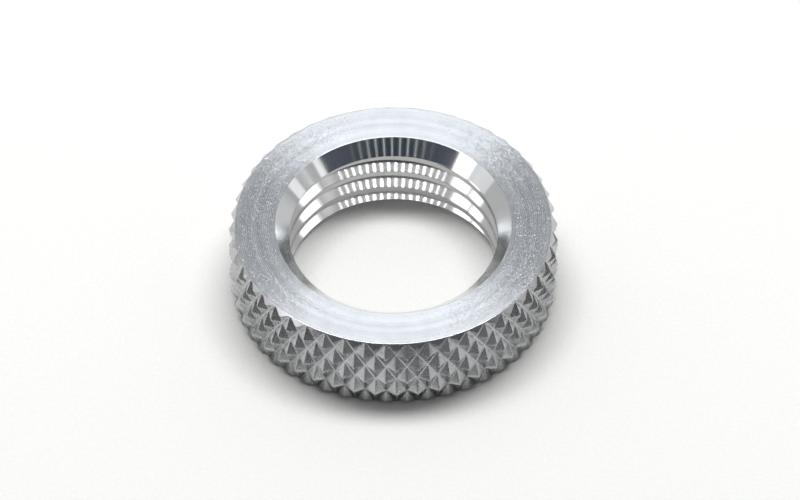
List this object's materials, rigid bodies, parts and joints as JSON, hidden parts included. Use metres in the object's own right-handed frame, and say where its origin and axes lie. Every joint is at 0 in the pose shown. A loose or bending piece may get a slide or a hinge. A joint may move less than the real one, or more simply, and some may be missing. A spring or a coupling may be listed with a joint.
{
  "type": "knurled nut",
  "caption": "Thin ring nut with a diamond-knurled rim, chamfered edges and a countersunk fine-threaded hole, run up a threaded tube or stud by hand to clamp a panel.",
  "frame": {"origin": "centre of the bottom face, on the nut's axis", "axes": "+Z along the axis of the threaded hole, from the bottom face to the top face; X and Y lie in the bottom face"},
  "size_m": [0.0142, 0.0142, 0.0037],
  "materials": {
    "turned_aluminium": "bare aluminium: faced end faces with fine turning marks, bright bore and countersinks, satin cut knurl"
  },
  "bodies": {
    "root": {"knurled_nut": "turned_aluminium"}
  },
  "joints": []
}
